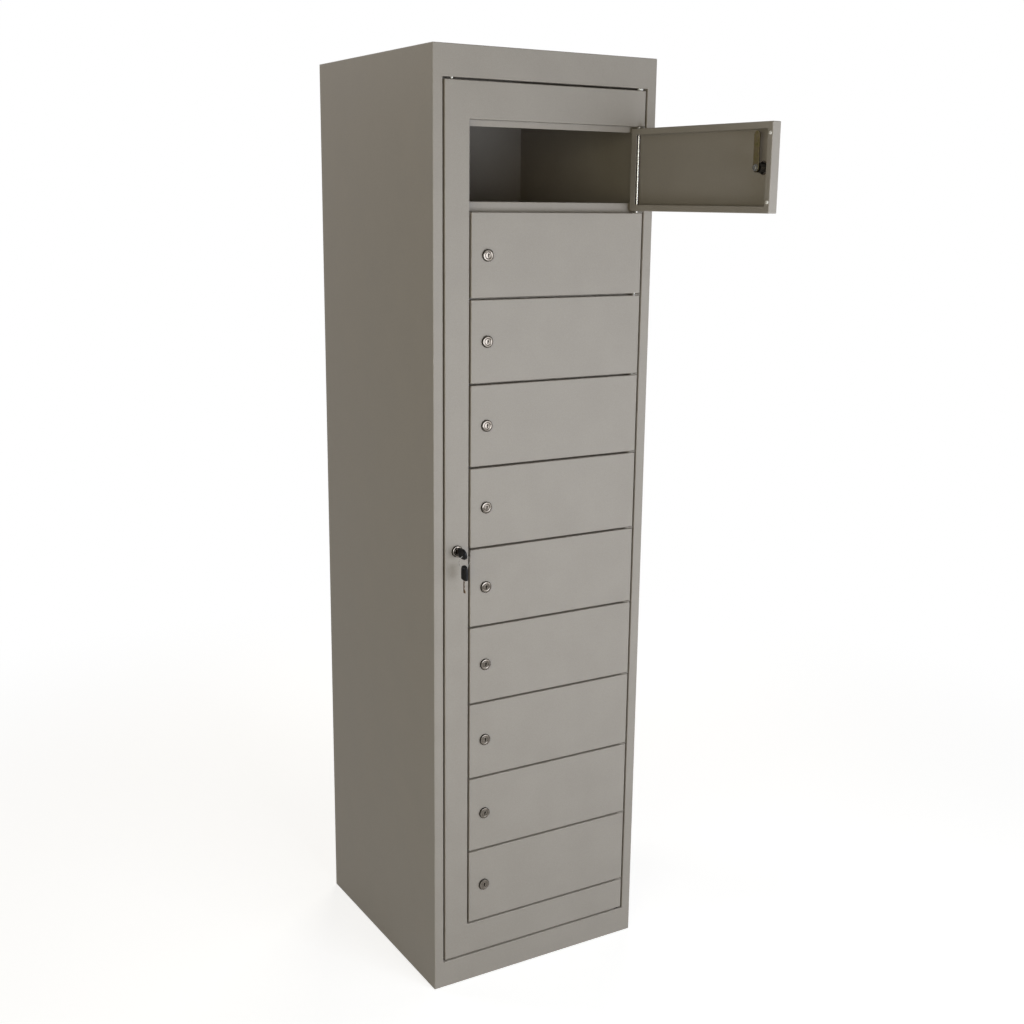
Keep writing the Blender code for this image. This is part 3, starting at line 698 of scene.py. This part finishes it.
def makeLocks():
    shapes = {"Bezel": makeBarrel(), "Face": makeFaceRing(), "Nut": makeNut(), "Plug": makePlug(),
              "CamScrew": makeCamScrew()}
    # the bezel's near-black casting and the darkened chrome of face, nut and plug are painted dark reflections
    look = {"Bezel": ("paintedDarkReflectionCasting", "lock_chrome"), "Face": ("chromedZincCasting", "lock_chrome"),
            "Nut": ("chromedZincCasting", "lock_chrome"), "Plug": ("chromedZincCasting", "lock_chrome"),
            "Cam": ("yellowZincSteel", "yellow_zinc"), "CamScrew": ("zincScrewSteel", "bright_zinc")}
    sites = [("lock", f"_{number}", f"door_{number}", f"lock_{number}", f"lock_barrel_{number}",
              f"lock_cam_{number}", doorPlace(number) @ Matrix.Translation(lockOffset),
              lockCam["doorReach"]) for number in doorNumbers]
    sites.append(("masterLock", "", "master_door", "master_lock", "master_lock_barrel",
                  "master_lock_cam", Matrix.Translation(joints["master_lock_turn"]["pos_m"]),
                  lockCam["masterReach"]))
    for start, end, holder, turning, barrelNode, camNode, place, reach in sites:
        for part, (finish, slot) in look.items():
            shape = makeCam(reach) if part == "Cam" else shapes[part].copy()
            if part == "Plug" and turning == "master_lock":
                bmesh.ops.transform(shape, matrix=keyTurn, verts=shape.verts)
            body = holder if part in ("Bezel", "Face", "Nut") else turning
            replaced = {"Bezel": (barrelNode,), "Cam": (camNode,)}.get(part, ())
            addPiece(start + part + end, shape, finish, body, replaced, place)
    for shape in shapes.values():
        shape.free()


# Keys: a moulded bow on a milled blade, modelled about the bow's hole with the blade along +Y
key = {"bow": (5.0 * mm, 30.0 * mm, 21.0 * mm), "ringCorner": 9.4 * mm, "bladeCorner": 4.0 * mm,
       "edge": 1.1 * mm, "hole": 3.5 * mm, "holeInset": 6.5 * mm, "gripRim": 2.6 * mm,
       "gripDepth": 0.55 * mm, "turned": -10.0,
       "blade": (1.6 * mm, 7.0 * mm), "bladeRoot": 3.0 * mm, "bladeEdge": 0.3 * mm,
       "notchPitch": 3.6 * mm, "notchDepths": (0.7 * mm, 0.4 * mm, 0.9 * mm, 0.5 * mm, 0.8 * mm)}
keyTurn = Matrix.Rotation(math.radians(key["turned"]), 4, "Y")


def makeBow():
    thick, length, height = key["bow"]
    outer = -key["holeInset"]
    shape = block((-thick / 2, outer, -height / 2), (thick / 2, outer + length, height / 2))
    corners = [edge for edge in shape.edges
               if abs(edge.verts[0].co.x - edge.verts[1].co.x) > thick / 2]
    for radius, isOuter in ((key["ringCorner"], True), (key["bladeCorner"], False)):
        ends = [edge for edge in corners if edge.is_valid and (edge.verts[0].co.y < 0) == isOuter]
        roundEdges(shape, ends, radius, roundness["corner"])
    roundEdges(shape, sharpEdges(shape, creases["bow"]), key["edge"], roundness["rim"])
    grips = [face for face in shape.faces if abs(face.normal.x) > squareOn]
    for grip in grips:
        bmesh.ops.inset_region(shape, faces=[grip], thickness=key["gripRim"] - key["edge"],
                               use_even_offset=True)
        bmesh.ops.inset_region(shape, faces=[grip], thickness=key["gripDepth"],
                               depth=-key["gripDepth"], use_even_offset=True)
    hole = roundBar(key["hole"], (-thick, 0, 0), (thick, 0, 0), roundness["keyHole"])
    return cutOut(shape, [hole])


def makeBlade(start, end, notched):
    thick, height = key["blade"]
    shape = block((-thick / 2, start, -height / 2), (thick / 2, end, height / 2))
    roundEdges(shape, shape.edges[:], key["bladeEdge"], roundness["edge"])
    notches = []
    for index, depth in enumerate(key["notchDepths"] if notched else ()):
        spot = end - key["notchPitch"] * (index + 1)
        notch = block((-thick, -height, -height), (thick, 0, 0))
        turn = Matrix.Rotation(-quarter / 2, 4, "X")
        bmesh.ops.transform(notch, matrix=Matrix.Translation((0, spot, depth - height / 2)) @ turn,
                            verts=notch.verts)
        notches.append(notch)
    return cutOut(shape, notches)


# A split ring: two turns of wire side by side, hanging in the bow's hole
keyRing = {"wire": 0.36 * mm, "pitch": 0.76 * mm, "turns": 2, "stepsPerTurn": 64, "wireSteps": 10}


def makeRing():
    low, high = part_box("key_ring")
    middle = (low + high) / 2
    radius = (high.x - low.x - (high.y - low.y)) / 2
    wire = keyRing["wire"]
    shape = bmesh.new()
    bmesh.ops.create_circle(shape, cap_ends=True, segments=keyRing["wireSteps"], radius=wire)
    travel = keyRing["pitch"] * keyRing["turns"]
    start = Matrix.Translation((0, -travel / 2, radius))
    sideways = Matrix.Rotation(quarter, 4, "Y")
    bmesh.ops.transform(shape, matrix=start @ sideways, verts=shape.verts)
    steps = keyRing["turns"] * keyRing["stepsPerTurn"]
    bmesh.ops.spin(shape, geom=shape.verts[:] + shape.edges[:] + shape.faces[:], cent=(0, 0, 0),
                   axis=(0, 1, 0), dvec=(0, travel / steps, 0),
                   angle=2 * math.pi * keyRing["turns"], steps=steps, use_merge=False)
    bmesh.ops.recalc_face_normals(shape, faces=shape.faces)
    addPiece("keyRing", shape, "nickelledSpringWire", "spare_key", ("key_ring",),
             Matrix.Translation(middle))


def makeKeys():
    bowEnd = key["bow"][1] - key["holeInset"]
    downward = upright.inverted()
    for node, name, body in (("master_key", "masterKey", "master_lock"),
                             ("spare_key", "spareKey", "spare_key")):
        low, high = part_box(node)
        middle = (low + high) / 2
        if node == "master_key":
            place = Matrix.Translation((middle.x, low.y + key["holeInset"], middle.z)) @ keyTurn
            tip = high.y - low.y - key["holeInset"]
        else:
            place = Matrix.Translation((middle.x, middle.y, high.z - key["holeInset"])) @ downward
            tip = high.z - low.z - key["holeInset"]
        addPiece(name + "Bow", makeBow(), "blackAbs", body, (node,), place)
        addPiece(name + "Blade", makeBlade(bowEnd - key["bladeRoot"], tip, node == "spare_key"),
                 "nickelBrass", body, (), place)
    makeRing()


makeCabinetShell()
makeShelves()
print("cabinet made")
makeMasterFrame()
makeDoors()
makeHinge()
print("doors made")
makeLocks()
makeKeys()
print("locks and keys made")


# Camera at the photograph's viewing angle
view = {"place": (-1.4149, -2.5123, 1.6234), "turn": (76.95, -0.61, -30.64), "lens": 47.195,
        "sensor": 36.0, "farthest": 100.0}


def makeCamera():
    camera = bpy.data.cameras.new("photoView")
    camera.sensor_width = view["sensor"]
    camera.lens = view["lens"]
    camera.clip_end = view["farthest"]
    holder = addObject("photoView", camera)
    holder.location = view["place"]
    holder.rotation_euler = [math.radians(angle) for angle in view["turn"]]
    bpy.context.scene.camera = holder


# A pale floor that fades to the white background, so no horizon shows
floorLook = {"radius": 30.0, "steps": 96, "shade": "#D2D2D0", "lift": 0.72, "fadeFrom": 1.1,
             "fadeTo": 2.6}


def seenDirectly(tree):
    path = addNode(tree, "LightPath")
    both = addNode(tree, "Math", {"operation": "MAXIMUM"},
                   links={0: path.outputs["Is Camera Ray"], 1: path.outputs["Is Glossy Ray"]})
    return addNode(tree, "Math", {"operation": "MAXIMUM"},
                   links={0: both.outputs[0], 1: path.outputs["Is Transmission Ray"]}).outputs[0]


def makeFloor():
    shape = bmesh.new()
    bmesh.ops.create_circle(shape, cap_ends=True, segments=floorLook["steps"],
                            radius=floorLook["radius"])
    floor = addObject("studioFloor", toMesh(shape, "studioFloor"))
    material = bpy.data.materials.new("studioFloor")
    material.use_nodes = True
    tree = material.node_tree
    tree.nodes.remove(tree.nodes["Principled BSDF"])
    place = addNode(tree, "TexCoord").outputs["Object"]
    away = addNode(tree, "VectorMath", {"operation": "LENGTH"}, links={0: place})
    fade = addNode(tree, "MapRange", {"interpolation_type": "SMOOTHSTEP"},
                   {"From Min": floorLook["fadeFrom"], "From Max": floorLook["fadeTo"]},
                   {"Value": away.outputs["Value"]})
    seen = seenDirectly(tree)
    shade = addNode(tree, "BsdfDiffuse", values={"Color": linear(floorLook["shade"])})
    lift = addNode(tree, "Math", {"operation": "MULTIPLY"}, {1: floorLook["lift"]}, {0: seen})
    glow = addNode(tree, "Emission", links={"Strength": lift.outputs[0]})
    near = addNode(tree, "AddShader", links={0: shade.outputs[0], 1: glow.outputs[0]})
    far = addNode(tree, "Emission", values={"Strength": 1.0})
    share = addNode(tree, "Math", {"operation": "MULTIPLY"},
                    links={0: seen, 1: fade.outputs["Result"]})
    both = addNode(tree, "MixShader", links={0: share.outputs[0], 1: near.outputs[0],
                                             2: far.outputs[0]})
    tree.links.new(both.outputs[0], tree.nodes["Material Output"].inputs["Surface"])
    floor.data.materials.append(material)


# Soft studio light: a cool box in front at mid-height, a warm fill and a small one from the
# left, a weak one from the right, two behind for the left side and the back, and a dim room
lamps = {
    "frontBox": {"place": (0.3, -2.6, 1.15), "aim": (0.0, -0.26, 0.95), "size": (1.6, 1.1),
                 "watts": 36.5, "colour": "#EBF2FF"},
    "leftFill": {"place": (-2.6, -2.2, 1.5), "aim": (0.0, -0.26, 1.0), "size": (1.4, 1.4),
                 "watts": 14.5, "colour": "#FFFBE2"},
    "nearFill": {"place": (-1.6, -2.5, 1.7), "aim": (0.0, -0.26, 1.2), "size": (1.0, 1.0),
                 "watts": 6.0, "colour": "#FFEDC4"},
    "rightFill": {"place": (1.9, -2.7, 1.0), "aim": (0.0, -0.26, 0.95), "size": (1.4, 1.6),
                  "watts": 15.5, "colour": "#F6F9FF"},
    "backFill": {"place": (-1.7, 1.9, 2.8), "aim": (-0.25, 0.0, 1.2), "size": (1.2, 1.2),
                 "watts": 17.0, "colour": "#FFF8F2"},
    "rearFill": {"place": (1.7, 2.4, 1.8), "aim": (0.1, 0.1, 1.0), "size": (1.6, 1.6),
                 "watts": 28.0, "colour": "#FFFAF2"},
}
roomLight = 0.04


def makeLight():
    for name, lamp in lamps.items():
        light = bpy.data.lights.new(name, "AREA")
        light.shape = "RECTANGLE"
        light.size, light.size_y = lamp["size"]
        light.energy = lamp["watts"]
        light.color = linear(lamp["colour"])[:3]
        holder = addObject(name, light)
        holder.location = lamp["place"]
        line = Vector(lamp["aim"]) - Vector(lamp["place"])
        holder.rotation_euler = line.to_track_quat("-Z", "Y").to_euler()
    world = bpy.data.worlds.new("studio")
    world.use_nodes = True
    bpy.context.scene.world = world
    tree = world.node_tree
    strength = addNode(tree, "MapRange", values={"To Min": roomLight, "To Max": 1.0},
                       links={"Value": seenDirectly(tree)})
    tree.nodes["Background"].inputs["Color"].default_value = (1.0, 1.0, 1.0, 1.0)
    tree.links.new(strength.outputs["Result"], tree.nodes["Background"].inputs["Strength"])


makeCamera()
makeFloor()
makeLight()
bpy.context.scene.view_settings.view_transform = "Standard"
print("camera, floor and light made")
